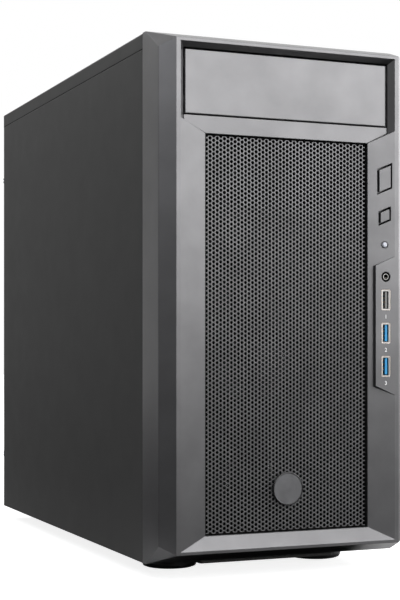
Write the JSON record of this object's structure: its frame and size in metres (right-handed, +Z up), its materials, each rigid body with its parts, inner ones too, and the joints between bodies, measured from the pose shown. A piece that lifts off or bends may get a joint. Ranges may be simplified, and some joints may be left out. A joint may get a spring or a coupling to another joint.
{
  "type": "desktop computer tower",
  "caption": "Small desktop computer tower: folded steel case, faceted front bezel with a mesh grille, one drive bay, controls and sockets down one side, fitted with board, supply and fans.",
  "frame": {"origin": "on the floor under the feet, in the middle of the tower's footprint, measured over the rear card shelf", "axes": "+Y from the front bezel to the rear panel, +X to the right when facing the front, +Z up"},
  "size_m": [0.1844, 0.4034, 0.3603],
  "materials": {
    "bezel": "satin moulded",
    "trim": "satin moulded",
    "mesh": "satin powder coat",
    "badge": "satin",
    "button": "satin moulded",
    "lens": "diffusing",
    "circuit_board": "solder mask",
    "socket_metal": "nickel plated",
    "black_plastic": "moulded",
    "painted_steel": "fine textured powder coat",
    "plated_steel": "satin paint",
    "cast_metal": "cast",
    "black_metal": "black",
    "foot_plastic": "moulded",
    "pad_rubber": "matt",
    "fan_plastic": "moulded",
    "screw_steel": "zinc plated",
    "fin_aluminium": "extruded",
    "supply_steel": "galvanised",
    "gloss_black": "gloss"
  },
  "bodies": {
    "chassis": {"base_pan": "painted_steel", "top_cover": "painted_steel", "front_plate": "plated_steel", "rear_panel": "plated_steel", "board_tray": "plated_steel", "bay_cage": "plated_steel", "drive_bracket": "plated_steel", "hard_drive": "cast_metal", "solid_state_drive": "black_plastic", "front_left_foot": "foot_plastic", "front_right_foot": "foot_plastic", "rear_left_foot": "foot_plastic", "rear_right_foot": "foot_plastic", "foot_pads": "pad_rubber", "front_fan_frame_lower": "fan_plastic", "front_fan_frame_upper": "fan_plastic", "rear_fan_frame": "fan_plastic", "front_fan_screws": "screw_steel", "rear_screws": "screw_steel", "board_screws": "screw_steel", "card_screws": "screw_steel", "main_board": "circuit_board", "processor_socket": "socket_metal", "processor_cooler": "fin_aluminium", "processor_fan_frame": "fan_plastic", "memory_slots": "black_plastic", "memory_modules": "circuit_board", "expansion_slots": "black_plastic", "board_heatsinks": "fin_aluminium", "board_connectors": "black_plastic", "port_plate": "socket_metal", "rear_ports": "black_plastic", "card_blanks": "plated_steel", "supply_case": "supply_steel", "supply_fan_frame": "fan_plastic", "supply_fan_guard": "screw_steel", "supply_inlet": "black_plastic", "switch_frame": "black_plastic"},
    "bezel": {"front_bezel": "bezel", "bezel_clips": "black_plastic", "bay_sill": "trim", "mesh_grille": "mesh", "badge_disc": "badge", "power_lamp": "lens", "control_board": "circuit_board", "usb_sockets": "socket_metal", "audio_jack": "black_plastic"},
    "cover": {"bay_cover": "trim"},
    "power_button": {"power_button": "button"},
    "reset_button": {"reset_button": "button"},
    "left_panel": {"left_side_panel": "painted_steel", "left_thumb_screws": "black_metal"},
    "right_panel": {"right_side_panel": "painted_steel", "right_thumb_screws": "black_metal"},
    "front_rotor_lower": {"front_fan_rotor_lower": "fan_plastic"},
    "front_rotor_upper": {"front_fan_rotor_upper": "fan_plastic"},
    "rear_rotor": {"rear_fan_rotor": "fan_plastic"},
    "processor_rotor": {"processor_fan_rotor": "fan_plastic"},
    "supply_rotor": {"supply_fan_rotor": "fan_plastic"},
    "supply_switch": {"switch_rocker": "gloss_black"}
  },
  "joints": [
    {"name": "bezel_pull", "type": "slide", "parent": "chassis", "child": "bezel", "axis": [0, -1, 0], "range_m": [0, 0.06]},
    {"name": "cover_pull", "type": "slide", "parent": "bezel", "child": "cover", "axis": [0, -1, 0], "range_m": [0, 0.03]},
    {"name": "power_press", "type": "slide", "parent": "bezel", "child": "power_button", "axis": [0, 1, 0], "range_m": [0, 0.0016], "stiffness_N_per_m": 500, "springref_m": -0.001},
    {"name": "reset_press", "type": "slide", "parent": "bezel", "child": "reset_button", "axis": [0, 1, 0], "range_m": [0, 0.0016], "stiffness_N_per_m": 500, "springref_m": -0.001},
    {"name": "left_panel_slide", "type": "slide", "parent": "chassis", "child": "left_panel", "axis": [0, 1, 0], "range_m": [0, 0.012]},
    {"name": "right_panel_slide", "type": "slide", "parent": "chassis", "child": "right_panel", "axis": [0, 1, 0], "range_m": [0, 0.012]},
    {"name": "front_fan_spin_lower", "type": "hinge", "parent": "chassis", "child": "front_rotor_lower", "pos_m": [0, -0.1537, 0.0983], "axis": [0, 1, 0], "continuous": true},
    {"name": "front_fan_spin_upper", "type": "hinge", "parent": "chassis", "child": "front_rotor_upper", "pos_m": [0, -0.1537, 0.2223], "axis": [0, 1, 0], "continuous": true},
    {"name": "rear_fan_spin", "type": "hinge", "parent": "chassis", "child": "rear_rotor", "pos_m": [-0.033, 0.1773, 0.1953], "axis": [0, 1, 0], "continuous": true},
    {"name": "processor_fan_spin", "type": "hinge", "parent": "chassis", "child": "processor_rotor", "pos_m": [0.0129, 0.0983, 0.2053], "axis": [1, 0, 0], "continuous": true},
    {"name": "supply_fan_spin", "type": "hinge", "parent": "chassis", "child": "supply_rotor", "pos_m": [0, 0.1147, 0.2853], "axis": [0, 0, 1], "continuous": true},
    {"name": "supply_switch_tilt", "type": "hinge", "parent": "chassis", "child": "supply_switch", "pos_m": [-0.004, 0.1872, 0.3153], "axis": [1, 0, 0], "range_deg": [0, 20]}
  ]
}
